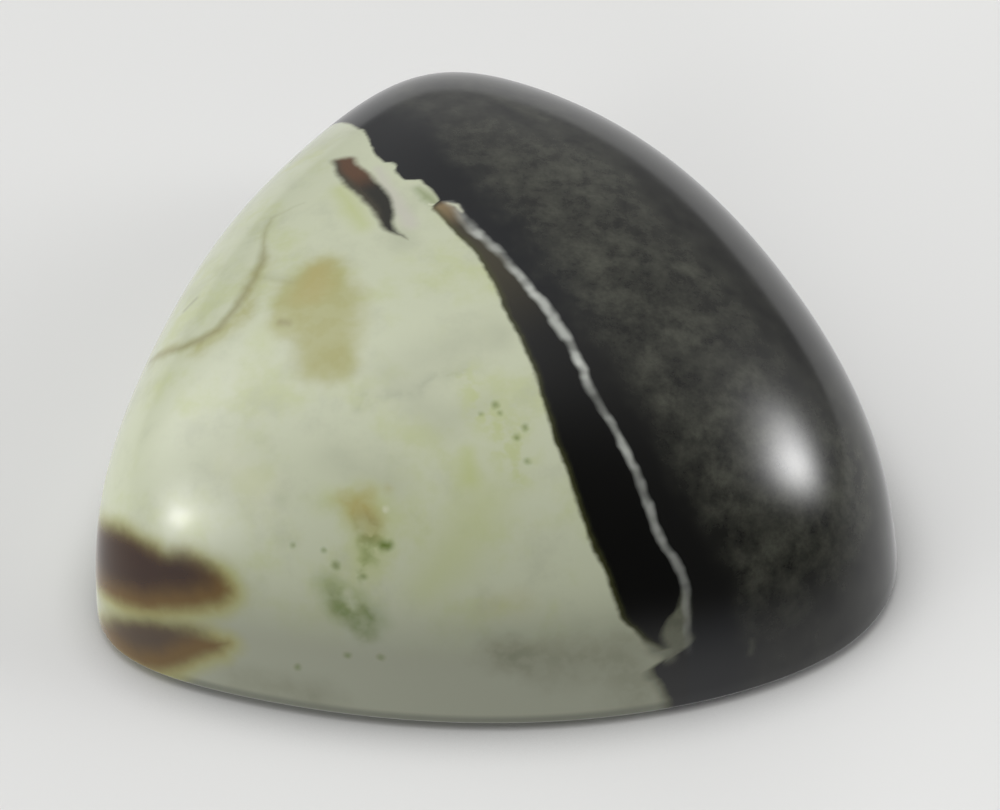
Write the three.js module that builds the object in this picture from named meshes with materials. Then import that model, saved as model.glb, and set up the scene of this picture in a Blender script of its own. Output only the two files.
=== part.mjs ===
// A peanut jasper cabochon: one stone with a flat back, a rounded-triangle outline and a high polished dome.
// Millimetres, +Z up. The origin is the middle of the flat back, and the front side faces -Y.
import * as THREE from "three";

// Heights above the flat back
const HEIGHT = 11.5;
const GIRDLE_HEIGHT = 0.4;

// The small bevel that is ground all round the back
const BEVEL_INSET = 0.4;

// The outline at the girdle, seen from above. Each straight cut faces a direction, in degrees from +X,
// and lies a distance away from the grinding centre.
const LONG_SIDES = [
  { name: "right", faces: 27.5, away: 14.85 },
  { name: "left", faces: 155, away: 9.55 },
  { name: "front", faces: 268.8, away: 13.2 },
];
const CORNERS = [
  { name: "back", faces: 76, away: 17.2 },
  { name: "front left", faces: 236, away: 15.5 },
  { name: "front right", faces: 310, away: 17.55 },
];

// How sharply neighbouring cuts meet: a higher number leaves straighter sides and tighter corners
const CUT_BLEND = 4.7;

// The dome's profile from girdle to crown: 2 would be an ellipse, and higher is fuller
const SHOULDER_FULLNESS = 2.6;
const FLANK_FULLNESS = 2.8;

// The crown lies behind the grinding centre, and the outline has turned this far into a circle there
const CROWN_BACK = 1.3;
const CROWN_ROUNDING = 0.39;

// Facets
const COLUMNS = 96;
const RINGS = 26;

// The polished stone's own look
const STONE_COLOUR = 0xb4b89c;
const POLISHED_ROUGHNESS = 0.1;

// Distance from the grinding centre to the girdle, in a direction given in radians
function girdleRadius(direction) {
  let cuts = 0;
  for (const cut of [...LONG_SIDES, ...CORNERS]) {
    const towards = Math.cos(direction - THREE.MathUtils.degToRad(cut.faces));
    cuts += (Math.max(0, towards) / cut.away) ** CUT_BLEND;
  }
  return cuts ** (-1 / CUT_BLEND);
}

// The columns of the grid: one direction and its girdle radius for each
const columns = Array.from({ length: COLUMNS }, (_, index) => {
  const direction = (2 * Math.PI * index) / COLUMNS;
  return { direction, radius: girdleRadius(direction) };
});
const meanRadius = columns.reduce((sum, column) => sum + column.radius, 0) / COLUMNS;

// One ring of points, from each column's radius there, a height and how far it is moved back
function ring(radiusOf, height, back) {
  return columns.map(({ direction, radius }) => {
    const distance = radiusOf(radius);
    return new THREE.Vector3(distance * Math.cos(direction), distance * Math.sin(direction) + back, height);
  });
}

// A ring of the dome: rise goes from 0 at the girdle to 1 at the crown, along a superellipse
function domeRing(index) {
  const angle = ((index / RINGS) * Math.PI) / 2;
  const scale = Math.cos(angle) ** (2 / SHOULDER_FULLNESS);
  const rise = Math.sin(angle) ** (2 / FLANK_FULLNESS);
  const rounding = CROWN_ROUNDING * rise;
  return ring(
    (radius) => scale * THREE.MathUtils.lerp(radius, meanRadius, rounding),
    THREE.MathUtils.lerp(GIRDLE_HEIGHT, HEIGHT, rise),
    CROWN_BACK * rise,
  );
}

// The whole stone as one closed surface: flat back, bevel, dome and crown
function stoneGeometry() {
  const backEdge = ring((radius) => radius - BEVEL_INSET, 0, 0);
  const rings = [backEdge, ...Array.from({ length: RINGS }, (_, index) => domeRing(index))];
  const points = [...rings.flat(), new THREE.Vector3(0, 0, 0), new THREE.Vector3(0, CROWN_BACK, HEIGHT)];
  const backMiddle = points.length - 2;
  const crown = points.length - 1;
  const lastRing = (rings.length - 1) * COLUMNS;

  const faces = [];
  for (let column = 0; column < COLUMNS; column += 1) {
    const next = (column + 1) % COLUMNS;
    faces.push(backMiddle, next, column);
    for (let base = 0; base < lastRing; base += COLUMNS) {
      const above = base + COLUMNS;
      faces.push(base + column, base + next, above + next);
      faces.push(base + column, above + next, above + column);
    }
    faces.push(lastRing + column, lastRing + next, crown);
  }

  const geometry = new THREE.BufferGeometry().setFromPoints(points);
  geometry.setIndex(faces);

  // The flat back's middle becomes the origin
  geometry.computeBoundingBox();
  const middle = geometry.boundingBox.getCenter(new THREE.Vector3());
  geometry.translate(-middle.x, -middle.y, 0);
  geometry.computeVertexNormals();
  return geometry;
}

const polishedStone = new THREE.MeshStandardMaterial({
  color: STONE_COLOUR,
  roughness: POLISHED_ROUGHNESS,
  metalness: 0,
});

const cabochon = new THREE.Mesh(stoneGeometry(), polishedStone);
cabochon.name = "cabochon";

const group = new THREE.Group();
group.add(cabochon);

export default group;
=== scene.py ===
"""A peanut jasper cabochon.

The dome is ground from a rim of girdle points, coloured in the solid and polished.
"""
import math
from typing import NamedTuple

import bmesh
import bpy
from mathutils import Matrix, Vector


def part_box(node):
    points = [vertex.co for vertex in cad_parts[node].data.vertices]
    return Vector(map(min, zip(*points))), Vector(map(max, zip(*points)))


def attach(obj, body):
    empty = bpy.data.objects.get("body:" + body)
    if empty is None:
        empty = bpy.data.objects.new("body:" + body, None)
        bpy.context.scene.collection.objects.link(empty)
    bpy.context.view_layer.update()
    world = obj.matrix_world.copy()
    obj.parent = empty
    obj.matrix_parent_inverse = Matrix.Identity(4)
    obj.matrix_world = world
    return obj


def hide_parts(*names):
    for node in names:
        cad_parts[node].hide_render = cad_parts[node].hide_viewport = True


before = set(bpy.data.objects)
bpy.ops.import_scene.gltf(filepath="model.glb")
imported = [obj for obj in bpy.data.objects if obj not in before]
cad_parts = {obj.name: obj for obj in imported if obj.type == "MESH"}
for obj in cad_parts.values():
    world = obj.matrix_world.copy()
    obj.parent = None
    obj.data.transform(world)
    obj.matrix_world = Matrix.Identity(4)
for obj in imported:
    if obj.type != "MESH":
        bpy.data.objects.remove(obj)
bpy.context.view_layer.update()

bl_info = {
    "name": "Peanut Jasper Cabochon",
    "version": (1, 0, 0),
    "blender": (4, 5, 0),
    "location": "3D View > Sidebar > Cabochon",
    "description": "Grinds and polishes a peanut jasper cabochon and lights it on a table",
    "category": "Object",
}

MM = 0.001
BACK_CORNER, CROWN_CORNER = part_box("cabochon")

# The grinding centre, seen from above: a little to the left of the outline's middle and in front of it
GRINDING_CENTRE = (-2.380 * MM, -2.015 * MM)


class Cut(NamedTuple):
    """A straight cut of the outline: the way it faces, in degrees from +X, and its distance, in mm"""

    name: str
    faces: float
    away: float


LONG_SIDES = (
    Cut("right", 27.5, 14.85),
    Cut("left", 155, 9.55),
    Cut("front", 268.8, 13.2),
)
CORNERS = (
    Cut("back", 76, 17.2),
    Cut("front left", 236, 15.5),
    Cut("front right", 310, 17.55),
)

# Directions. The seam runs from back to front, and across it lies the dark side.
RIGHT = (1, 0, 0)
FORWARD = (0, -1, 0)
BACKWARD = (0, 1, 0)
UP = (0, 0, 1)
ACROSS_SEAM = (0.8597, 0.5108, 0)
ALONG_SEAM = (0.5108, -0.8597, 0)

# A place's run, in mm, is how far it lies along the seam plus how far it lies below the crown
CROWN_HEIGHT = CROWN_CORNER.z / MM

# Lines along the seam. Each point has its run and then how far across the line is there, or half its width,
# all in mm, or its brightness from 0 to 1.
CREAM_EDGE = (
    (-8.5, -1.15), (-7.65, -1.19), (-6.8, -1.31), (-6.4, -1.42), (-5.94, -1.63), (-5, -1.8), (-4.8, -1.58),
    (-4.55, -1.6), (-4.35, -1.8), (-3.75, -1.72), (-3.4, -1.22), (-2.3, -1.2), (-2.15, -1.25), (-2, -1.6),
    (-1.75, -1.72), (-1.54, -1.68), (-1, -1.68), (0.2, -1.57), (0.75, -1.53), (1.4, -1.6), (2.7, -1.78),
    (3.5, -1.93), (4.1, -2.07), (5.7, -2.26), (7.2, -2.46), (10.7, -3.08), (13.2, -3.29), (15.4, -3.38),
    (16.5, -3.39), (18.5, -3.22), (19.9, -3.16), (20.4, -3.1), (20.9, -2.95), (21.5, -2.69), (22, -2.48),
    (22.5, -2.25), (23, -1.95), (23.3, -1.62), (23.5, -1.72), (23.65, -2), (23.85, -2.4), (24.5, -2.2),
    (25.1, -2), (26.1, -1.86),
)
VEIN_MIDDLE = (
    (-2, -1.1), (-1.5, -0.96), (-1.1, -0.96), (-0.6, -1), (0.2, -0.93), (1, -0.85), (2, -0.76),
    (2.8, -0.72), (3.6, -0.75), (4.6, -0.67), (5.6, -0.71), (6.9, -0.78), (8.3, -0.89), (9.4, -1.04),
    (11.5, -1.01), (14.4, -0.94), (16.2, -1.02), (17.3, -0.99), (18.2, -0.88), (19.1, -0.72), (20, -0.65),
    (21, -0.74), (22.5, -0.85),
)
VEIN_BRIGHTNESS = (
    (-2.1, 0), (-1.6, 0.3), (-0.6, 0.4), (-0.2, 0.8), (0.4, 0.9), (0.9, 0.55), (2.1, 0.55), (3.3, 1),
    (4.6, 0.75), (7, 0.75), (8.2, 1), (9.4, 0.4), (10.2, 0.45), (11.4, 0.85), (12.2, 0.6), (13, 0.75),
    (14.4, 0.48), (15.5, 0.55), (17, 0.5), (18.2, 0.46), (19.5, 0.36), (21, 0.3), (23, 0.12),
)
VEIN_HALF_WIDTH = (
    (-2, 0.1), (-1.5, 0.2), (-0.6, 0.2), (0.3, 0.18), (4, 0.17), (8.2, 0.17), (9.5, 0.15), (15, 0.15),
    (23, 0.13),
)
LENS_MIDDLE = (
    (-6.3, -2.85), (-5.9, -2.88), (-5.3, -3.08), (-4.6, -3.14), (-3.9, -3.12), (-3.3, -3.16),
    (-2.75, -3.27), (-2.2, -3.45), (-1.75, -3.57), (-1.4, -3.5), (-1.1, -3.34), (-0.8, -3.3),
)
LENS_HALF_WIDTH = (
    (-6.3, 0.32), (-5.9, 0.38), (-5.3, 0.43), (-4.6, 0.5), (-3.9, 0.51), (-3.3, 0.47), (-2.75, 0.4),
    (-2.2, 0.28), (-1.75, 0.17), (-1.4, 0.06), (-1.1, 0), (-0.8, -0.15),
)
FLARE_MIDDLE = (
    (20.4, -0.74), (20.85, -0.76), (21.2, -0.83), (21.45, -0.97), (21.7, -1.1), (22, -1.22), (22.5, -1.3),
    (23.1, -1.2), (23.4, -1.35), (23.6, -1.6), (23.85, -2),
)
FLARE_HALF_WIDTH = (
    (20.4, 0), (20.85, 0.17), (21.2, 0.23), (21.45, 0.35), (21.7, 0.46), (22, 0.53), (22.5, 0.53),
    (23.1, 0.5), (23.4, 0.36), (23.6, 0.1), (23.85, -0.2),
)


class Clouds(NamedTuple):
    """A noise pattern: its clouds' size, detail and roughness, and how far the pattern is moved, in mm"""

    size: float
    detail: float
    roughness: float = 0.5
    moved: float = 0


# Patterns are moved this way, each by its own distance, so that no two are alike
MOVED_WAY = (1, 0.7, -1)

SMALL_CLOUDS = Clouds(1.7, 5, 0.6)
BROAD_CLOUDS = Clouds(2.6, 4, 0.6, moved=31)
GRAINS = Clouds(1, 7, 0.7, moved=23)
LUMPS = Clouds(0.6, 2, moved=71)
VEIN_BEADS = Clouds(0.7, 1, moved=13)


class Raggedness(NamedTuple):
    """How a drawn edge is pushed about: the size of its waves and how far they reach, in mm"""

    size: float
    reach: float


WAVES = Raggedness(1, 0.12)
RIPPLES = Raggedness(0.3, 0.05)
LOOSE_WAVES = Raggedness(1.3, 0.5)


class Mark(NamedTuple):
    """A stain, cloud, crack or dot on the stone.

    It has its colour's strength, the softness of its edge, and stations along its middle, each a place
    and the half thickness there, all in mm. A broken mark is mottled by that share and has a loose edge.
    """

    name: str
    colour: str
    strength: float
    soft: float
    stations: tuple
    broken: float = 0


CREAM_MARKS = (
    Mark("upper grey cloud", "cream_grey", 0.6, 1, ((-2.8, -6.8, 11, 0.8), (-0.2, -5.4, 11.2, 0.6))),
    Mark("middle grey cloud", "cream_grey", 0.7, 0.8, (
        (-4.1, -7.1, 10.8, 0.4), (-3, -8.2, 10.5, 0.5), (-1.9, -8.95, 10.2, 0.6), (-0.3, -8.3, 10.5, 0.2),
    )),
    Mark("grey spot at the top", "cream_grey", 0.9, 0.7, (
        (-3.6, -0.7, 11.5, 0.3), (-3.6, -1.1, 11.5, 0.3),
    )),
    Mark("grey spot by the tongue", "cream_grey", 0.8, 0.6, ((0.1, -5.5, 11.1, 0.2), (0, -5.9, 11.1, 0.2))),
    Mark("yellow spot by the stain", "cream_yellow", 0.5, 0.7, (
        (-8.5, -5.1, 10.7, 0.3), (-8.5, -5.5, 10.7, 0.3),
    )),
    Mark("clouds beside the tongue", "cream_yellow", 0.9, 0.8, (
        (-1.2, -7.2, 10.7, 0.4), (-0.4, -8.4, 10.3, 0.7), (0.4, -9.6, 9.8, 0.7), (0.7, -10.6, 9.2, 0.4),
    ), 0.8),
    Mark("small cloud", "cream_yellow", 1, 0.4, ((-1.1, -10, 9.6, 0.2), (-1, -10.8, 9.1, 0.3))),
    Mark("front cloud", "cream_yellow", 0.6, 1, (
        (-0.5, -11.5, 8.6, 0.8), (-1.6, -12.7, 7.2, 0.9), (-2.6, -13.3, 6.1, 0.5),
    )),
    Mark("grey cloud", "cream_grey", 0.6, 0.8, ((-3.8, -10.9, 9, 0.6), (-6, -9.9, 9.3, 0.4))),
    Mark("grey line", "grey_line", 0.4, 0.35, (
        (-5, -8.3, 10.3, 0.1), (-3.84, -8, 10.5, 0.15), (-2.45, -7.5, 10.8, 0.15), (-1.4, -6.9, 10.9, 0.08),
    ), 0.7),
    Mark("pale zone", "pale_zone", 0.85, 0.3, (
        (-4.5, 3.2, 11.2, 0.15), (-3.7, 1, 11.4, 0.3), (-3.3, 0, 11.5, 0.3),
    )),
    Mark("fringe of the lens", "cream_yellow", 0.9, 0.5, (
        (-5.9, 2.2, 11.1, 0.25), (-5.4, 0.9, 11.3, 0.35), (-5, 0, 11.4, 0.25),
    )),
    Mark("stain", "stain_edge", 0.8, 0.6, (
        (-6.5, -2.9, 11.2, 1.2), (-6.4, -3.9, 11.15, 1.45), (-6.35, -5.1, 11, 1.25),
        (-6.2, -6.3, 10.85, 1.05),
    ), 0.12),
    Mark("left side of the stain", "stain_edge", 0.7, 0.5, (
        (-7.75, -3, 11, 0.35), (-7.8, -4.8, 10.8, 0.45),
    ), 0.15),
    Mark("core of the stain", "tan", 0.75, 0.6, (
        (-6.6, -2.5, 11.25, 0.45), (-6.75, -3.4, 11.2, 0.55),
    ), 0.12),
    Mark("lower core of the stain", "stain_edge", 0.6, 0.5, (
        (-6.1, -6.2, 10.9, 0.45), (-5.5, -6.9, 10.7, 0.4),
    ), 0.15),
    Mark("dot of the stain", "crack", 0.6, 0.2, ((-7.86, -4.66, 10.93, 0.14), (-7.6, -4.75, 10.96, 0.1))),
    Mark("fringe of the crack", "stain_edge", 0.7, 0.5, (
        (-12.5, -3.9, 8.3, 0.25), (-10.7, -4.8, 9.75, 0.45), (-9.3, -4, 10.45, 0.45),
        (-8.5, -1.2, 10.7, 0.25),
    ), 0.3),
    Mark("crack", "crack", 0.7, 0.26, (
        (-12.8, -3.56, 7.82, 0.12), (-12.18, -4.03, 8.75, 0.14), (-11.48, -4.41, 9.42, 0.15),
        (-10.84, -4.49, 9.85, 0.17), (-10.25, -4.35, 10.17, 0.14), (-9.51, -3.37, 10.49, 0.17),
        (-8.87, -1.98, 10.68, 0.1), (-8.68, -1.14, 10.68, 0.18), (-8.67, -0.3, 10.6, 0.06),
        (-8.66, 0.46, 10.5, 0.02), (-8.44, 1.39, 10.44, -0.04), (-7.18, 1.76, 10.85, -0.1),
    )),
    Mark("branch of the crack", "crack", 0.3, 0.3, ((-8.79, -2.07, 10.71, 0.05), (-7.6, -2.7, 11.08, 0.1))),
    Mark("tick at the left", "grey_line", 0.6, 0.15, ((-11.5, -2.1, 9, 0.08), (-11.1, -1.8, 9.35, 0.06))),
    Mark("tick at the back", "grey_line", 0.9, 0.1, ((-7.9, 5.9, 9.1, 0.06), (-7.5, 6.6, 9, 0.08))),
    Mark("fringe of the tan spot", "cream_yellow", 0.9, 0.6, (
        (-6, -11.1, 8.4, 0.3), (-5, -11.4, 8.3, 0.75), (-4.2, -11.5, 8.4, 0.5), (-4.6, -12.6, 7.1, 0.4),
    ), 0.2),
    Mark("tan spot", "tan", 0.95, 0.5, (
        (-5.5, -11.2, 8.45, 0.25), (-5, -11.4, 8.3, 0.55), (-4.5, -11.8, 8, 0.4),
    ), 0.2),
    Mark("olive side of the tan spot", "crack", 0.5, 0.4, (
        (-4.9, -11.85, 8, 0.25), (-4.4, -12, 7.85, 0.25),
    ), 0.5),
    Mark("pinkish dot", "tan", 0.4, 0.25, ((-3.93, -11.03, 8.85, 0.12),)),
    Mark("whitish dot", "fleck", 0.8, 0.1, ((-3.96, -11.56, 8.38, 0.09),)),
    Mark("green below the spot", "leaf_green", 0.6, 0.35, (
        (-4.6, -12.1, 7.7, 0.2), (-4.4, -12.5, 7.2, 0.2), (-5, -12.9, 6.4, 0.1),
    ), 1),
    Mark("dark green dot", "leaf_green", 0.95, 0.18, (
        (-4.12, -12.4, 7.42, 0.13), (-3.92, -12.4, 7.42, 0.13),
    )),
    Mark("green haze", "leaf_green", 0.5, 0.6, (
        (-6, -12.85, 6, 0.25), (-5.4, -13.3, 5.2, 0.65), (-4.7, -13.5, 4.9, 0.6),
    ), 0.15),
    Mark("green lumps", "leaf_green", 0.35, 0.45, (
        (-5.8, -13, 5.8, 0.1), (-5.3, -13.35, 5.2, 0.55), (-4.9, -13.7, 4.4, 0.4),
    ), 0.8),
    Mark("green streak", "leaf_green", 0.35, 0.3, (
        (-5.95, -13.1, 5.6, 0.04), (-5.65, -13.35, 5.1, 0.18), (-5.3, -13.55, 4.7, 0.22),
        (-4.95, -13.7, 4.35, 0.12),
    )),
    Mark("small green streak", "leaf_green", 0.6, 0.2, (
        (-4.8, -13.45, 5.3, 0.05), (-4.55, -13.6, 4.95, 0.12),
    )),
    Mark("core of the green", "fleck", 0.4, 0.2, ((-5.42, -13.15, 5.75, 0.12), (-5.15, -13.4, 5.25, 0.1))),
    Mark("front stain", "tan", 0.2, 0.6, ((-0.25, -13.7, 5.4, 0.3), (0.7, -13.6, 5.6, 0.4)), 0.3),
    # Painted shade with some olive grey: these marks darken the low front flank, and the olive spot at the
    # front is a real stain
    Mark("grey below the tongue", "front_olive", 0.6, 1.3, (
        (0.4, -14.15, 3.7, 0.4), (2.2, -14.1, 3.2, 0.9), (4.4, -13.8, 3.2, 0.8), (5, -14, 1.2, 0.6),
    ), 0.3),
    Mark("olive spot at the front", "front_olive", 0.7, 0.9, (
        (-0.4, -14.1, 3.8, 0.2), (0.5, -14.15, 3.6, 0.5), (1, -14.2, 3, 0.2),
    ), 0.4),
    # Painted shade on the low front flank at the left
    Mark("grey at the lower left", "front_olive", 0.6, 1, (
        (-9.3, -12.9, 1.1, 0.4), (-6.5, -13.9, 1, 0.6),
    ), 0.2),
    Mark("olive spot", "leaf_green", 0.2, 0.35, ((-7.8, -10.9, 8.2, 0.2),)),
    Mark("green fleck", "leaf_green", 0.6, 0.3, (
        (-2.95, 1.9, 11.46, 0.1), (-2.6, 1.4, 11.48, 0.2), (-2.35, 1.1, 11.48, 0.12),
    )),
    # Painted light: a lighter patch on the left flank, beside the front lamp's highlight
    Mark("bright patch at the left", "fleck", 0.5, 0.9, ((-9.6, -9.5, 8.6, 0.4), (-8.4, -10.5, 8.2, 0.6))),
    Mark("yellow fleck", "fleck", 0.8, 0.06, ((-2.53, 1.02, 11.48, 0.03), (-2.05, 0.95, 11.49, 0.05))),
)

# Small specks on the cream, each with its radius, in mm
SPECKS = (
    (-5.79, -12.63, 6.62, 0.15), (-4.75, -12.97, 6.35, 0.1), (-6.25, -12.29, 6.99, 0.08),
    (-5.44, -13.89, 3.24, 0.12), (-4.22, -14.06, 3.32, 0.11), (-7.23, -13.66, 2.35, 0.11),
    (-0.1, -8.38, 10.41, 0.13), (0.08, -8.66, 10.29, 0.07), (0.93, -9.14, 10.01, 0.11),
    (0.61, -9.46, 9.88, 0.11), (-0.63, -8.68, 10.31, 0.05), (1, -10.23, 9.4, 0.08),
    (-7.32, -12.01, 7, 0.08),
)

# Drawn last, over the finished seam
SEAM_MARKS = (
    Mark("dull tip of the cream", "flare", 0.7, 0.3, ((5.5, -13.55, 3.1, 0.15), (6.1, -13.5, 2.75, 0.25))),
    Mark("white fleck", "fleck", 0.85, 0.12, (
        (-1.85, 1.07, 11.48, 0.03), (-1.55, 0.95, 11.48, 0.09), (-1.33, 0.6, 11.48, 0.05),
    )),
    Mark("faint light spot", "flare", 0.35, 0.25, ((9.16, -12.57, 2.5, 0.05), (9.1, -12.7, 2, 0.05))),
)

# The brown bands at the left corner
BANDS = (
    Mark("upper band", "band_brown", 1, 0.4, (
        (-14.9, -8.9, 3.3, 1.2), (-13.48, -10.54, 4.25, 1.4), (-12.73, -11.06, 4.4, 1.28),
        (-11.87, -11.54, 4.6, 1), (-11.02, -11.8, 4.95, 0.98), (-10.3, -12.05, 5.1, 0.72),
        (-9.8, -12.2, 5.15, 0.3),
    )),
    Mark("lower band", "band_grey", 1, 0.3, (
        (-14.6, -10.1, 0.65, 0.35), (-13.92, -11.02, 1.1, 0.68), (-12.96, -11.74, 1.46, 0.94),
        (-12.24, -12.1, 1.8, 0.93), (-11.14, -12.47, 2.43, 0.6), (-10.3, -12.76, 2.75, 0.34),
        (-9.8, -12.9, 3, 0.05),
    )),
)

# Each band's amber fringe lies a little lower than its stations, and its brown core higher and further left
FRINGE_MOVED = (0, 0, -0.22)
CORE_MOVED = (-0.5, 0, 0.25)

# The polish, a little duller on the clouds
JASPER_IOR = 1.54
POLISHED_ROUGHNESS = 0.12
CLOUD_ROUGHNESS = 0.06

# Edges sharper than the first angle are worn round, and edges up to the second are shaded smooth
WORN_ABOVE = math.radians(30)
SMOOTH_UP_TO = math.radians(40)
WORN_SEGMENTS = 3


class Glow(NamedTuple):
    """A soft glow in the room: its azimuth from +X and elevation, in degrees, brightness and tightness"""

    azimuth: float
    elevation: float
    radiance: float
    tightness: float


ROOM_GLOWS = {
    "left": Glow(174, 40, 2.8, 10),
    "above": Glow(135, 60, 1.2, 10),
    "right": Glow(24, 38, 0.45, 10),
    "low right": Glow(24, 15, 0.4, 10),
    "behind": Glow(90, 15, 0.48, 10),
    "upper window": Glow(9, 29.5, 5.9, 60),
    "lower window": Glow(-3.5, 25, 14, 75),
    "front window": Glow(-145.5, 18, 6, 34),
}


class Lamp(NamedTuple):
    """A lamp as seen from the stone: azimuth from +X, elevation, width and height in degrees, brightness"""

    name: str
    azimuth: float
    elevation: float
    width: float
    height: float
    radiance: float


LAMPS = (
    Lamp("front_lamp", -145.7, 16, 8, 8, 5.5),
)

# How far the lamp stands from the stone, in metres
LAMP_DISTANCE = 0.6

# The table top: how wide it is, in metres, and how dull
TABLE_SIZE = 6
TABLE_ROUGHNESS = 0.8

# The table's painted light grows this much lighter to the right, between these two places, filling in the
# stone's shadow there
PAINTED_FILL_BETWEEN = (6 * MM, 16 * MM)
PAINTED_FILL_BY = 1.12

# Its painted light is darkened close to the stone, as a painted contact shadow. The shares of open air are
# for the darkest table and for the full light.
CONTACT_REACH = 3 * MM
CONTACT_SAMPLES = 8
CONTACT_OPEN_AIR = (0.3, 0.95)

# The room's lower half is darker this way, in front of the stone
SHADED_WAY = (0.5, -0.87, 0)
DEEPEST_SHADE = 0.95

CAMERA_AZIMUTH = -90
SENSOR_WIDTH = 36


class StoneShape(bpy.types.PropertyGroup):
    """Sizes of the ground stone"""

    height: bpy.props.FloatProperty(
        name="Height",
        description="From the flat back to the crown",
        default=CROWN_CORNER.z - BACK_CORNER.z,
        min=MM,
        unit="LENGTH",
        subtype="DISTANCE",
    )
    girdle_height: bpy.props.FloatProperty(
        name="Girdle height",
        description="From the flat back to the widest outline",
        default=0.4 * MM,
        min=0.1 * MM,
        unit="LENGTH",
        subtype="DISTANCE",
    )
    bevel_inset: bpy.props.FloatProperty(
        name="Bevel",
        description="How far the ground bevel reaches in under the girdle",
        default=0.4 * MM,
        min=0,
        unit="LENGTH",
        subtype="DISTANCE",
    )
    edge_radius: bpy.props.FloatProperty(
        name="Edge radius",
        description="How far the two edges of the bevel are worn round",
        default=0.06 * MM,
        min=0,
        unit="LENGTH",
        subtype="DISTANCE",
    )
    cut_blend: bpy.props.FloatProperty(
        name="Cut blend",
        description="How sharply neighbouring cuts meet: higher leaves straighter sides",
        default=4.7,
        min=2,
    )
    shoulder_fullness: bpy.props.FloatProperty(
        name="Shoulder fullness",
        description="Fullness of the dome's shoulder: 2 is an ellipse, and higher is fuller",
        default=2.6,
        min=1,
    )
    flank_fullness: bpy.props.FloatProperty(
        name="Flank fullness",
        description="Fullness of the dome's flank: 2 is an ellipse, and higher is fuller",
        default=2.8,
        min=1,
    )
    crown_back: bpy.props.FloatProperty(
        name="Crown back",
        description="How far the crown lies behind the grinding centre",
        default=1.3 * MM,
        unit="LENGTH",
        subtype="DISTANCE",
    )
    crown_rounding: bpy.props.FloatProperty(
        name="Crown rounding",
        description="How far the outline has turned into a circle at the crown",
        default=0.39,
        min=0,
        max=1,
        subtype="FACTOR",
    )
    columns: bpy.props.IntProperty(
        name="Columns",
        description="Faces round the girdle",
        default=256,
        min=24,
    )
    rings: bpy.props.IntProperty(
        name="Rings",
        description="Faces from girdle to crown",
        default=110,
        min=12,
    )


def stone_colour(name, description, red, green, blue):
    """A colour property, given as screen values from 0 to 255"""

    def linear(value):
        share = value / 255
        return share / 12.92 if share <= 0.04045 else ((share + 0.055) / 1.055) ** 2.4

    return bpy.props.FloatVectorProperty(
        name=name,
        description=description,
        default=(linear(red), linear(green), linear(blue)),
        size=3,
        min=0,
        max=1,
        subtype="COLOR",
    )


class StoneColours(bpy.types.PropertyGroup):
    """Colours of the jasper"""

    cream: stone_colour("Cream", "The pale field", 193, 198, 172)
    cream_yellow: stone_colour("Yellow cream", "Yellow-green clouds in the pale field", 182, 189, 138)
    cream_grey: stone_colour("Grey cream", "Greyer clouds in the pale field", 176, 180, 156)
    # Painted shade: the cream darkened on the low front flank
    cream_painted_shade: stone_colour("Front cream", "The duller cream along the front edge", 158, 161, 141)
    # Partly a real olive stain at the front, partly painted shade on the low front flank
    front_olive: stone_colour("Front olive", "Soft olive-grey stains along the front edge", 120, 122, 98)
    # The girdle colour is painted shade: a shadow line along the foot of the pale field
    girdle: stone_colour("Girdle", "The duller ground rim of the pale field", 112, 115, 100)
    pale_zone: stone_colour("Pale zone", "The greyish zone between the lens and the seam", 190, 188, 176)
    grey_line: stone_colour("Grey line", "Faint healed lines", 140, 142, 124)
    dark: stone_colour("Dark", "The dark field", 21, 21, 20)
    dark_blue: stone_colour("Blue dark", "The dark field close to the seam", 15, 17, 20)
    dark_cloud: stone_colour("Dark cloud", "Grey clouds and grains in the dark field", 77, 78, 69)
    tongue: stone_colour("Tongue", "The black tongue between the cream and the vein", 14, 14, 13)
    tongue_olive: stone_colour("Olive tongue", "The upper part of the tongue", 60, 56, 42)
    tongue_brown: stone_colour("Brown tongue", "The tongue's upper end", 128, 110, 80)
    olive: stone_colour("Olive", "The tongue's soft edge", 66, 68, 38)
    vein: stone_colour("Vein", "The pale vein", 190, 193, 186)
    flare: stone_colour("Flare", "The olive-grey end of the vein", 106, 108, 92)
    # The fleck colour also paints light on the left flank
    fleck: stone_colour("Fleck", "Small light flecks", 212, 214, 190)
    red_brown: stone_colour("Red brown", "The lens near the back corner", 86, 58, 36)
    lens_dark: stone_colour("Dark lens", "The lower end of the lens", 32, 31, 23)
    band_brown: stone_colour("Band brown", "The upper band at the left corner", 48, 23, 4)
    band_grey: stone_colour("Band grey", "Greyer parts of the bands", 70, 54, 36)
    amber: stone_colour("Amber", "Amber fringes below the bands", 104, 78, 28)
    tan: stone_colour("Tan", "Tan stains", 168, 157, 98)
    stain_edge: stone_colour("Stain edge", "Yellow-olive stains", 160, 158, 98)
    crack: stone_colour("Crack", "The healed crack", 136, 133, 90)
    leaf_green: stone_colour("Green", "Green flecks", 98, 118, 48)


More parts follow.
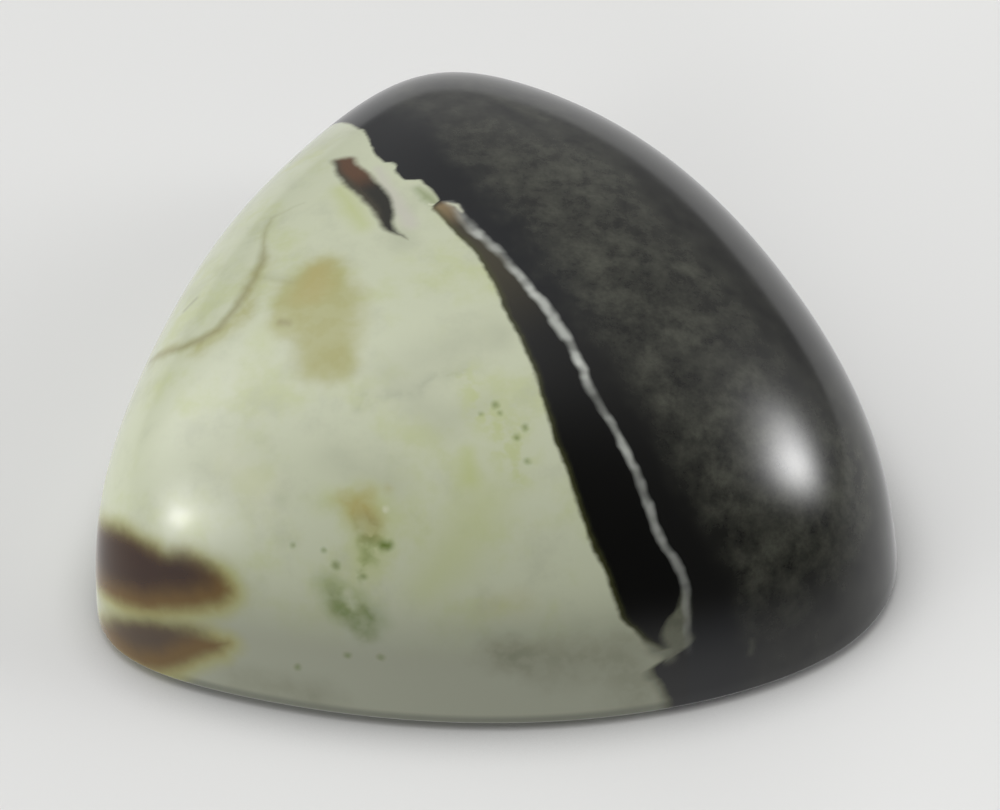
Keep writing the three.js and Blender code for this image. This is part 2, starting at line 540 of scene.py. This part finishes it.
class Studio(bpy.types.PropertyGroup):
    """The table, the light and the camera"""

    camera_elevation: bpy.props.FloatProperty(
        name="Camera elevation",
        description="How far above the table the camera looks from",
        default=math.radians(45),
        unit="ROTATION",
        subtype="ANGLE",
    )
    camera_distance: bpy.props.FloatProperty(
        name="Camera distance",
        description="From the camera to the point that it looks at",
        default=180 * MM,
        unit="LENGTH",
        subtype="DISTANCE",
    )
    camera_aim: bpy.props.FloatVectorProperty(
        name="Camera aim",
        description="The point that the camera looks at",
        default=(0.044 * MM, -1.969 * MM, 4 * MM),
        size=3,
        unit="LENGTH",
        subtype="XYZ",
    )
    camera_lens: bpy.props.FloatProperty(
        name="Lens",
        description="Focal length in millimetres on a 36 mm sensor",
        default=172.8,
        min=1,
        unit="CAMERA",
    )
    table_colour: bpy.props.FloatVectorProperty(
        name="Table",
        description="Colour of the table",
        default=(0.4, 0.4, 0.395),
        size=3,
        min=0,
        max=1,
        subtype="COLOR",
    )
    # The table glow is painted light on the table top, which is no lamp
    table_glow: bpy.props.FloatVectorProperty(
        name="Table glow",
        description="Light that comes up through the table",
        default=(0.36, 0.36, 0.355),
        size=3,
        min=0,
        max=1,
        subtype="COLOR",
    )
    mirrored_table: bpy.props.FloatProperty(
        name="Mirrored table",
        description="Brightness of the room's lower half, which the stone mirrors in place of the table",
        default=0.7,
        min=0,
    )
    room_light: bpy.props.FloatProperty(
        name="Room light",
        description="Brightness of the room between its glows",
        default=0.02,
        min=0,
    )


class Field:
    """What a node gives: a number, a place or a colour. Arithmetic on a number adds Math nodes."""

    def __init__(self, shader, socket):
        self.shader = shader
        self.socket = socket

    def _math(self, operation, *terms):
        return self.shader.add("ShaderNodeMath", {"operation": operation}, dict(enumerate(terms)))

    def __add__(self, other):
        return self._math("ADD", self, other)

    def __sub__(self, other):
        return self._math("SUBTRACT", self, other)

    def __rsub__(self, other):
        return self._math("SUBTRACT", other, self)

    def __mul__(self, other):
        return self._math("MULTIPLY", self, other)

    def __truediv__(self, other):
        return self._math("DIVIDE", self, other)

    def __abs__(self):
        return self._math("ABSOLUTE", self)

    def __and__(self, other):
        return self._math("MINIMUM", self, other)

    def __or__(self, other):
        return self._math("MAXIMUM", self, other)

    __radd__ = __add__
    __rmul__ = __mul__

    def from_to(self, low, high):
        """Low where this number is 0, and high where it is 1"""
        return self * (high - low) + low

    def labelled(self, label):
        """The same, with a label on its node"""
        self.socket.node.label = label
        return self


class Shader:
    """Adds nodes to one material or to the room's light"""

    def __init__(self, tree):
        self.tree = tree

    def add(self, kind, settings=None, sockets=None, output=0):
        """Adds a node, sets its settings and then its sockets, and gives one output back"""
        node = self.tree.nodes.new(kind)
        for name, value in (settings or {}).items():
            if name == "points":
                self._draw_curve(node.mapping, value)
            else:
                setattr(node, name, value)
        for name, value in (sockets or {}).items():
            if isinstance(value, Field):
                self.tree.links.new(value.socket, node.inputs[name])
            else:
                node.inputs[name].default_value = value
        return Field(self, node.outputs[output])

    @staticmethod
    def _draw_curve(mapping, points):
        """Gives a curve node those points"""
        line = mapping.curves[0]
        while len(line.points) < len(points):
            line.points.new(0, 0)
        for drawn, place in zip(line.points, points):
            drawn.location = place
        mapping.update()

    def vector(self, operation, *terms, output=0):
        """Vector Math on those terms"""
        return self.add("ShaderNodeVectorMath", {"operation": operation}, dict(enumerate(terms)), output)

    def scaled(self, vector, scale):
        """A vector made longer by that factor"""
        return self.add("ShaderNodeVectorMath", {"operation": "SCALE"}, {"Vector": vector, "Scale": scale})

    def reach(self, point, way):
        """How far the point lies that way"""
        return self.vector("DOT_PRODUCT", point, way, output="Value")

    def mix(self, base, colour, mask):
        """The base colour with another laid over it where the mask is 1"""
        # By number, because this node has several sockets of each name: 6, 7 and output 2 are for colours
        sockets = {0: mask, 6: rgba(base), 7: rgba(colour)}
        return self.add("ShaderNodeMix", {"data_type": "RGBA"}, sockets, output=2)

    def smooth(self, value, start, end):
        """0 where the value is at start, 1 where it is at end, eased between"""
        sockets = {"Value": value, "From Min": start, "From Max": end}
        return self.add("ShaderNodeMapRange", {"interpolation_type": "SMOOTHSTEP"}, sockets)

    def noise(self, point, clouds):
        """Those clouds, as a number from 0 to 1"""
        if clouds.moved:
            point = self.vector("ADD", point, [clouds.moved * share for share in MOVED_WAY])
        sockets = {
            "Vector": point,
            "Scale": 1 / clouds.size,
            "Detail": clouds.detail,
            "Roughness": clouds.roughness,
        }
        return self.add("ShaderNodeTexNoise", {}, sockets)

    def ragged(self, point, raggedness):
        """The point pushed about, so that what is drawn there gets a ragged edge"""
        sockets = {"Vector": point, "Scale": 1 / raggedness.size}
        waves = self.add("ShaderNodeTexNoise", {}, sockets, "Color")
        push = self.vector("SUBTRACT", waves, (0.5, 0.5, 0.5))
        return self.vector("MULTIPLY_ADD", push, (2 * raggedness.reach,) * 3, point)

    def curve(self, value, points):
        """The height of a drawn line at that value"""
        first = points[0][0]
        length = points[-1][0] - first
        low = min(height for _, height in points)
        high = max(height for _, height in points)
        drawn = [((place - first) / length, (height - low) / (high - low)) for place, height in points]
        share = self.add("ShaderNodeFloatCurve", {"points": drawn}, {"Value": (value - first) / length})
        return share.from_to(low, high)

    def stroke(self, point, stations):
        """Distance outside a stroke through those stations, and below 0 inside it"""
        if len(stations) == 1:
            *place, radius = stations[0]
            return self.vector("DISTANCE", point, place, output="Value") - radius
        nearest = None
        for (*start, thick), (*end, thin) in zip(stations, stations[1:]):
            step = Vector(end) - Vector(start)
            unit = step / step.length_squared
            settings = {"operation": "SUBTRACT", "use_clamp": True}
            sockets = {0: self.reach(point, unit), 1: unit.dot(Vector(start))}
            share = self.add("ShaderNodeMath", settings, sockets)
            middle = self.vector("ADD", self.scaled(step, share), start)
            away = self.vector("DISTANCE", point, middle, output="Value") - share.from_to(thick, thin)
            nearest = away if nearest is None else nearest & away
        return nearest


def rgba(colour):
    """A colour with its alpha, or a field as it is"""
    return colour if isinstance(colour, Field) else (*colour, 1)


class Jasper:
    """The stone's pattern, drawn in the solid. Places and distances are in mm."""

    def __init__(self, shader, colours):
        self.shader = shader
        self.colours = colours

        # The place itself, then pushed about in waves, with ripples on them, and with loose waves on those
        self.point = shader.scaled(shader.add("ShaderNodeTexCoord", output="Object"), 1 / MM)
        wavy = shader.ragged(self.point, WAVES)
        self.rough = shader.ragged(wavy, RIPPLES)
        self.loose = shader.ragged(self.rough, LOOSE_WAVES)

        # Where it lies on the stone. The vein follows the waves alone.
        self.across = shader.reach(self.rough, ACROSS_SEAM)
        self.flowing = shader.reach(wavy, ACROSS_SEAM)
        self.backward = shader.reach(self.rough, BACKWARD)
        self.height = shader.reach(self.point, UP)
        self.run = shader.reach(self.point, ALONG_SEAM) + CROWN_HEIGHT - self.height

        # The clouds and lumps that several parts of the pattern share
        self.cloudy = shader.noise(self.point, SMALL_CLOUDS)
        self.lumps = shader.smooth(shader.noise(self.point, LUMPS), 0.38, 0.62)

    def paint(self, colour, marks):
        """The colour with those marks over it, one after the other"""
        shader = self.shader
        for mark in marks:
            away = shader.stroke(self.loose if mark.broken else self.rough, mark.stations)
            inside = shader.smooth(away, mark.soft, -mark.soft)
            if mark.broken:
                inside = inside * self.lumps.from_to(1 - mark.broken, 1)
            laid_over = getattr(self.colours, mark.colour)
            colour = shader.mix(colour, laid_over, inside * mark.strength).labelled(mark.name)
        return colour

    def cream(self):
        """The pale field: yellow-green and greyer clouds, with painted shade on the low front flank and
        along the foot, and painted light on the left flank
        """
        shader, colours = self.shader, self.colours
        broad = shader.smooth(shader.noise(self.point, BROAD_CLOUDS), 0.46, 0.7)
        colour = shader.mix(colours.cream, colours.cream_yellow, broad * 0.6)
        small = shader.smooth(self.cloudy, 0.46, 0.74)
        colour = shader.mix(colour, colours.cream_grey, small * 0.5)
        # Painted shade: the cream is darker low on the front flank
        low = shader.smooth(self.height, 6.5, 3)
        front = shader.smooth(shader.reach(self.point, FORWARD), 8, 12.5)
        colour = shader.mix(colour, colours.cream_painted_shade, low * front)
        colour = self.paint(colour, CREAM_MARKS)
        # Painted shade: a dark line along the foot, where the stone meets the table
        rim = shader.smooth(self.height, 0.85, 0.55)
        colour = shader.mix(colour, colours.girdle, rim * 0.85)
        away = None
        for speck in SPECKS:
            outside = shader.stroke(self.rough, [speck])
            away = outside if away is None else away & outside
        specks = shader.smooth(away, 0.13, -0.13)
        return shader.mix(colour, colours.leaf_green, specks * 0.6)

    def dark(self):
        """The dark field: grey clouds of fine grains, away from the seam and thinned near the foot as
        painted shade, and a bluer tint beside it
        """
        shader, colours = self.shader, self.colours
        beside_seam = shader.smooth(self.across, 2.2, 0.3)
        seam_ends = shader.smooth(self.run, 8, 3) | shader.smooth(self.run, 21.5, 23.5)
        colour = shader.mix(colours.dark, colours.dark_blue, beside_seam * seam_ends)

        # Towards the front the clouds keep further from the seam
        past_seam = self.across + self.cloudy * 2 - shader.smooth(self.run, 13, 21) * 0.7
        inside_rim = shader.smooth(self.across, 7.4, 4.8) | shader.smooth(self.run, 12, 18)
        # Painted shade: fewer grey clouds low on the dark flank, where the mirrored table lies in the
        # stone's shadow
        clear_of_foot_shade = shader.smooth(self.height, 2, 6)
        before_back = shader.smooth(self.run, -8, 0)
        field = shader.smooth(past_seam, 0.6, 2.7) * inside_rim.from_to(0.25, 1)
        field = field * clear_of_foot_shade.from_to(0.3, 1) * before_back.from_to(0.6, 1)
        grains = shader.smooth(shader.noise(self.point, GRAINS), 0.2, 0.82)
        thicker = shader.smooth(self.cloudy, 0.34, 0.62)
        grey = grains * thicker.from_to(0.6, 1.1)
        return shader.mix(colour, colours.dark_cloud, field * grey)

    def between(self, middle, half_width, soft):
        """1 within half a width of a line along the seam"""
        shader = self.shader
        away = abs(self.across - shader.curve(self.run, middle)) - shader.curve(self.run, half_width)
        return shader.smooth(away, soft, -soft)

    def lens(self, colour):
        """The brown lens near the back corner, with its blunt upper end"""
        shader, colours = self.shader, self.colours
        lower_end = shader.smooth(self.run, -5, -3.8)
        brown = shader.mix(colours.red_brown, colours.lens_dark, lower_end)
        left_side = shader.smooth(shader.curve(self.run, LENS_MIDDLE) - self.across, 0, 0.4)
        brown = shader.mix(brown, colours.tongue_olive, left_side)
        below_upper_end = shader.smooth(self.backward, 4.55, 4.1)
        inside = self.between(LENS_MIDDLE, LENS_HALF_WIDTH, 0.18) * below_upper_end
        return shader.mix(colour, brown, inside)

    def seam(self, cream, dark):
        """Cream on one side, the tongue and the vein in the middle, dark on the other side"""
        shader, colours = self.shader, self.colours
        past_edge = self.across - shader.curve(self.run, CREAM_EDGE)
        past_vein = self.flowing - shader.curve(self.run, VEIN_MIDDLE)

        # The same runs come again on the stone's back flank, where there is no tongue and no vein
        in_front = shader.smooth(self.backward, 3.4, 2.4)

        tongue = shader.mix(colours.tongue_brown, colours.tongue_olive, shader.smooth(self.run, -1.9, -0.4))
        tongue = shader.mix(tongue, colours.tongue, shader.smooth(self.run, 0.8, 6.5))
        tongue = shader.mix(tongue, colours.olive, shader.smooth(past_edge, 0.3, 0) * 0.7)
        beside_vein = shader.smooth(self.run, -2.2, -1.8) * shader.smooth(past_vein, 0.1, -0.1)
        colour = shader.mix(dark, tongue, beside_vein * in_front)

        flare = self.between(FLARE_MIDDLE, FLARE_HALF_WIDTH, 0.2) * shader.smooth(self.across, -0.2, -1.1)
        colour = shader.mix(colour, colours.flare, flare * in_front * self.lumps.from_to(0.75, 0.95))

        beads = shader.smooth(shader.noise(self.point, VEIN_BEADS), 0.32, 0.66)
        bright = shader.curve(self.run, VEIN_BRIGHTNESS) * beads.from_to(0.45, 1.05)
        width = shader.curve(self.run, VEIN_HALF_WIDTH) * beads.from_to(0.9, 1.15)
        vein = shader.smooth(abs(past_vein) / width, 1.7, 0.2)
        colour = shader.mix(colour, colours.vein, vein * bright * in_front)

        # The edge of the cream is softer at the tongue's tip
        sharpness = shader.smooth(self.run, 23.2, 21).from_to(0.3, 1)
        return shader.mix(cream, colour, shader.smooth(past_edge * sharpness, -0.12, 0.09))

    def bands(self, colour):
        """The two brown bands at the left corner, with amber below them"""
        shader, colours = self.shader, self.colours
        upper_side = shader.smooth(self.height, 5, 6.4)
        far_left = shader.smooth(shader.reach(self.point, RIGHT), -12.7, -14.4)
        greyer = upper_side * 0.7 + far_left * 0.3
        fringe_point = shader.vector("SUBTRACT", self.rough, FRINGE_MOVED)
        core_point = shader.vector("SUBTRACT", self.rough, CORE_MOVED)
        for band in BANDS:
            fringe = shader.stroke(fringe_point, band.stations)
            colour = shader.mix(colour, colours.stain_edge, shader.smooth(fringe, 0.95, 0) * 0.9)
            colour = shader.mix(colour, colours.amber, shader.smooth(fringe, 0.42, -0.42))
            brown = shader.mix(getattr(colours, band.colour), colours.band_grey, greyer)
            core = shader.stroke(core_point, band.stations)
            core = shader.smooth(core, band.soft, -band.soft - 0.4)
            colour = shader.mix(colour, brown, core * band.strength).labelled(band.name)
        return colour


def jasper_material(colours):
    """The polished stone"""
    material = bpy.data.materials.new("polished_jasper")
    material.use_nodes = True
    shader = Shader(material.node_tree)
    pattern = Jasper(shader, colours)
    pale = pattern.bands(pattern.lens(pattern.cream()))
    colour = pattern.paint(pattern.seam(pale, pattern.dark()), SEAM_MARKS)
    roughness = pattern.cloudy * CLOUD_ROUGHNESS + POLISHED_ROUGHNESS
    polish = material.node_tree.nodes["Principled BSDF"]
    polish.inputs["IOR"].default_value = JASPER_IOR
    material.node_tree.links.new(colour.socket, polish.inputs["Base Color"])
    material.node_tree.links.new(roughness.socket, polish.inputs["Roughness"])
    return material


def girdle_radius(direction, blend):
    """From the grinding centre to the girdle, in a direction given in radians"""
    cuts = 0
    for cut in LONG_SIDES + CORNERS:
        towards = math.cos(direction - math.radians(cut.faces))
        cuts += (max(0, towards) / (cut.away * MM)) ** blend
    return cuts ** (-1 / blend)


def deselect_objects():
    """Leaves no object selected"""
    for item in bpy.context.selected_objects:
        item.select_set(False)


def select_points(mesh, chosen):
    """In edit mode, selects the points that the test chooses, and no others"""
    bpy.ops.mesh.select_all(action="DESELECT")
    points = bmesh.from_edit_mesh(mesh)
    for point in points.verts:
        point.select = chosen(point)
    points.select_flush_mode()
    bmesh.update_edit_mesh(mesh)


def draw_girdle(shape):
    """The widest outline: a circle whose points are drawn out to the six cuts"""
    centre = Vector((*GRINDING_CENTRE, shape.girdle_height))
    start_radius = LONG_SIDES[0].away * MM
    deselect_objects()
    bpy.ops.mesh.primitive_circle_add(
        vertices=shape.columns, radius=start_radius, fill_type="NOTHING", location=centre
    )
    stone = bpy.context.object
    stone.name = stone.data.name = "jasper_stone"
    bpy.ops.object.transform_apply(location=True, rotation=False, scale=False)

    bpy.ops.object.mode_set(mode="EDIT")
    bpy.ops.mesh.select_mode(type="VERT")
    for index in range(shape.columns):
        select_points(stone.data, lambda point: point.index == index)
        chosen = next(point for point in bmesh.from_edit_mesh(stone.data).verts if point.select)
        out = chosen.co - centre
        stretch = girdle_radius(math.atan2(out.y, out.x), shape.cut_blend) / out.length
        bpy.ops.transform.resize(value=(stretch, stretch, 1), center_override=centre)
    return stone, centre


def grind_back(centre, shape):
    """The ground bevel and the flat back, extruded down from the girdle"""
    bpy.ops.mesh.select_all(action="SELECT")
    bpy.ops.mesh.extrude_edges_move(TRANSFORM_OT_translate={"value": (0, 0, -shape.girdle_height)})
    back_centre = (centre.x, centre.y, 0)
    bpy.ops.transform.push_pull(value=shape.bevel_inset, center_override=back_centre)
    bpy.ops.mesh.edge_face_add()


def grind_dome(stone, centre, shape):
    """The dome, ring by ring: each is extruded, rounded, drawn in, raised and moved back a little"""
    half = shape.girdle_height / 2
    select_points(stone.data, lambda point: abs(point.co.z - shape.girdle_height) < half)
    ring_centre = centre.copy()
    last_scale, last_rise = 1, 0
    for ring in range(1, shape.rings + 1):
        angle = ring / shape.rings * math.pi / 2
        scale = max(0, math.cos(angle)) ** (2 / shape.shoulder_fullness) if ring < shape.rings else 0
        rise = math.sin(angle) ** (2 / shape.flank_fullness)
        last_rounding = shape.crown_rounding * last_rise
        rounding = (shape.crown_rounding * rise - last_rounding) / (1 - last_rounding)
        shrink = scale / last_scale
        lift = (shape.height - shape.girdle_height) * (rise - last_rise)
        move = Vector((0, shape.crown_back * (rise - last_rise), lift))

        bpy.ops.mesh.extrude_edges_move()
        bpy.ops.transform.tosphere(value=rounding, center_override=ring_centre)
        bpy.ops.transform.resize(value=(shrink, shrink, 1), center_override=ring_centre)
        bpy.ops.transform.translate(value=move)
        ring_centre += move
        last_scale, last_rise = scale, rise
    bpy.ops.mesh.merge(type="CENTER")


def finish_stone(stone, shape):
    """Faces turned out, the bevel's edges worn round, and a smooth polish"""
    bpy.ops.mesh.select_all(action="SELECT")
    bpy.ops.mesh.normals_make_consistent(inside=False)
    bpy.ops.object.mode_set(mode="OBJECT")
    worn = stone.modifiers.new("worn_edges", "BEVEL")
    worn.width = shape.edge_radius
    worn.segments = WORN_SEGMENTS
    worn.limit_method = "ANGLE"
    worn.angle_limit = WORN_ABOVE
    bpy.ops.object.modifier_apply(modifier=worn.name)
    bpy.ops.object.shade_smooth_by_angle(angle=SMOOTH_UP_TO)


class CABOCHON_OT_stone(bpy.types.Operator):
    """Grinds the stone, gives it its jasper pattern and polishes it"""

    bl_idname = "cabochon.stone"
    bl_label = "Stone"

    def execute(self, context):
        shape = context.scene.cabochon_shape
        stone, centre = draw_girdle(shape)
        grind_back(centre, shape)
        grind_dome(stone, centre, shape)
        finish_stone(stone, shape)
        stone.data.materials.append(jasper_material(context.scene.cabochon_colours))
        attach(stone, "root")
        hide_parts("cabochon")
        return {"FINISHED"}


def from_stone(azimuth, elevation):
    """The direction from the stone at those angles, in degrees"""
    azimuth, elevation = math.radians(azimuth), math.radians(elevation)
    level = math.cos(elevation)
    return Vector((level * math.cos(azimuth), level * math.sin(azimuth), math.sin(elevation)))


def add_lamp(lamp):
    """A square soft lamp that faces the stone"""
    towards = from_stone(lamp.azimuth, lamp.elevation)
    turn = towards.to_track_quat("Z", "Y").to_euler()
    deselect_objects()
    bpy.ops.object.light_add(type="AREA", location=towards * LAMP_DISTANCE, rotation=turn)
    light = bpy.context.object
    light.name = light.data.name = lamp.name
    light.data.shape = "RECTANGLE"
    light.data.size = 2 * LAMP_DISTANCE * math.tan(math.radians(lamp.width) / 2)
    light.data.size_y = 2 * LAMP_DISTANCE * math.tan(math.radians(lamp.height) / 2)
    light.data.energy = lamp.radiance * math.pi * light.data.size * light.data.size_y
    light.visible_camera = False


def add_table(studio):
    """A plain pale table top, with a glow of its own: painted light, lifted on the right and darkened next
    to the stone as a painted contact shadow
    """
    deselect_objects()
    bpy.ops.mesh.primitive_plane_add(size=TABLE_SIZE)
    table = bpy.context.object
    table.name = table.data.name = "table"
    material = bpy.data.materials.new("table_top")
    material.use_nodes = True
    shader = Shader(material.node_tree)
    place = shader.add("ShaderNodeTexCoord", output="Object")
    # Painted light, lighter to the right to fill the stone's shadow, and a painted contact shadow next to
    # the stone
    lighter = [share * PAINTED_FILL_BY for share in studio.table_glow]
    painted_fill_to_the_right = shader.smooth(shader.reach(place, RIGHT), *PAINTED_FILL_BETWEEN)
    glow = shader.mix(studio.table_glow, lighter, painted_fill_to_the_right)
    settings = {"samples": CONTACT_SAMPLES}
    open_air = shader.add("ShaderNodeAmbientOcclusion", settings, {"Distance": CONTACT_REACH}, output="AO")
    glow = shader.mix((0, 0, 0), glow, shader.smooth(open_air, *CONTACT_OPEN_AIR))
    surface = material.node_tree.nodes["Principled BSDF"]
    surface.inputs["Base Color"].default_value = (*studio.table_colour, 1)
    material.node_tree.links.new(glow.socket, surface.inputs["Emission Color"])
    surface.inputs["Emission Strength"].default_value = 1
    surface.inputs["Roughness"].default_value = TABLE_ROUGHNESS
    surface.inputs["Specular IOR Level"].default_value = 0
    table.data.materials.append(material)

    # Only the camera sees the table: the stone mirrors the lower half of the room in its place
    table.visible_diffuse = table.visible_glossy = table.visible_shadow = False


def add_camera(studio):
    """The camera, level and looking along +Y from above"""
    aim = Vector(studio.camera_aim)
    away = from_stone(CAMERA_AZIMUTH, math.degrees(studio.camera_elevation))
    turn = away.to_track_quat("Z", "Y").to_euler()
    deselect_objects()
    bpy.ops.object.camera_add(location=aim + away * studio.camera_distance, rotation=turn)
    camera = bpy.context.object
    camera.data.lens = studio.camera_lens
    camera.data.sensor_width = SENSOR_WIDTH
    camera.data.clip_start = MM
    bpy.context.scene.camera = camera


def room_light(studio):
    """The room's own light: a few soft glows above, and a pale lower half that is shaded in front"""
    world = bpy.data.worlds.new("room")
    world.use_nodes = True
    shader = Shader(world.node_tree)
    direction = shader.add("ShaderNodeTexCoord", output="Generated")
    light = studio.room_light
    for name, glow in ROOM_GLOWS.items():
        facing = shader.reach(direction, from_stone(glow.azimuth, glow.elevation))
        patch = shader.add("ShaderNodeMath", {"operation": "EXPONENT"}, {0: (facing - 1) * glow.tightness})
        light = patch.labelled(name) * glow.radiance + light
    height = shader.reach(direction, UP)
    ahead = shader.smooth(shader.reach(direction, SHADED_WAY), 0.2, 0.8)
    near_horizon = shader.smooth(height, -0.6, -0.03)
    shade = ahead * near_horizon * DEEPEST_SHADE
    below = shader.smooth(height, 0.01, -0.02)
    light = light * (1 - below) + (1 - shade) * below * studio.mirrored_table
    room = world.node_tree.nodes["Background"]
    room.inputs["Color"].default_value = (1, 1, 1, 1)
    world.node_tree.links.new(light.socket, room.inputs["Strength"])
    return world


class CABOCHON_OT_studio(bpy.types.Operator):
    """Sets up the table, the lamp, the room's light and the camera"""

    bl_idname = "cabochon.studio"
    bl_label = "Studio"

    def execute(self, context):
        studio = context.scene.cabochon_studio
        add_table(studio)
        for lamp in LAMPS:
            add_lamp(lamp)
        add_camera(studio)
        context.scene.world = room_light(studio)
        context.scene.view_settings.view_transform = "Standard"
        return {"FINISHED"}


class CABOCHON_PT_panel(bpy.types.Panel):
    """The cabochon's makers and their settings"""

    bl_idname = "CABOCHON_PT_panel"
    bl_label = "Cabochon"
    bl_space_type = "VIEW_3D"
    bl_region_type = "UI"
    bl_category = "Cabochon"

    def draw(self, context):
        scene = context.scene
        makers = (
            (CABOCHON_OT_stone, (scene.cabochon_shape, scene.cabochon_colours)),
            (CABOCHON_OT_studio, (scene.cabochon_studio,)),
        )
        for maker, groups in makers:
            column = self.layout.column()
            column.operator(maker.bl_idname)
            for group in groups:
                for name in group.__annotations__:
                    column.prop(group, name)


CLASSES = (StoneShape, StoneColours, Studio, CABOCHON_OT_stone, CABOCHON_OT_studio, CABOCHON_PT_panel)


def register():
    """Makes the operators, the panel and their settings known to Blender"""
    for item in CLASSES:
        bpy.utils.register_class(item)
    bpy.types.Scene.cabochon_shape = bpy.props.PointerProperty(type=StoneShape)
    bpy.types.Scene.cabochon_colours = bpy.props.PointerProperty(type=StoneColours)
    bpy.types.Scene.cabochon_studio = bpy.props.PointerProperty(type=Studio)


def unregister():
    """Takes the settings, the panel and the operators away again"""
    del bpy.types.Scene.cabochon_studio
    del bpy.types.Scene.cabochon_colours
    del bpy.types.Scene.cabochon_shape
    for item in reversed(CLASSES):
        bpy.utils.unregister_class(item)


def main():
    """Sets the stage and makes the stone"""
    register()
    bpy.ops.cabochon.studio()
    bpy.ops.cabochon.stone()


if __name__ == "__main__":
    main()
